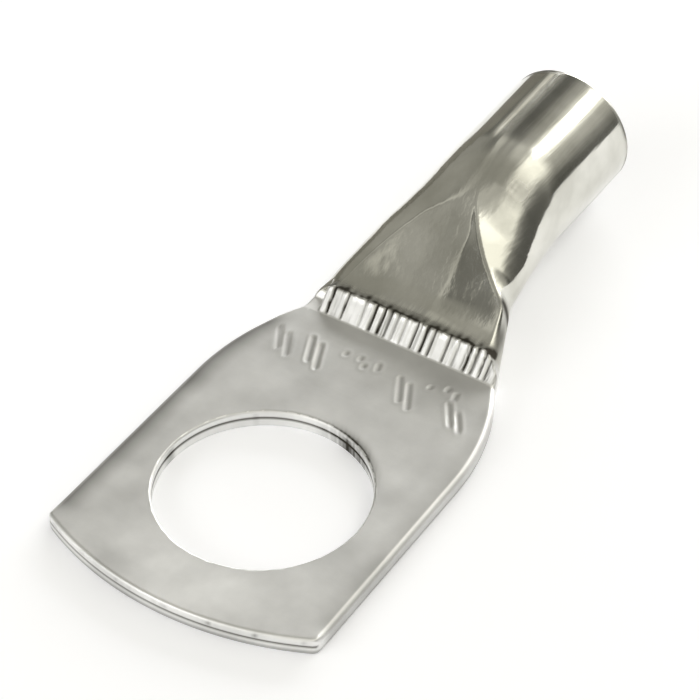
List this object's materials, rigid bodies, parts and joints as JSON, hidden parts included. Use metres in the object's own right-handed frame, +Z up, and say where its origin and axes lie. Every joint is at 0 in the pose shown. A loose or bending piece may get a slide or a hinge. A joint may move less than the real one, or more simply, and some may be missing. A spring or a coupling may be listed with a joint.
{
  "type": "tube cable lug",
  "caption": "Tinned copper cable lug: a round tube barrel for a stranded conductor, pressed flat into a palm with a stud hole.",
  "frame": {"origin": "centre of the stud hole, on the underside of the palm", "axes": "+X along the barrel towards its open mouth, +Z up out of the palm, Y across the palm"},
  "size_m": [0.0457, 0.0188, 0.0086],
  "materials": {
    "tinned_copper": "tin plate on copper: bright and smooth on the barrel and neck, satin grey on the pressed palm"
  },
  "bodies": {
    "root": {"cable_lug": "tinned_copper"}
  },
  "joints": []
}
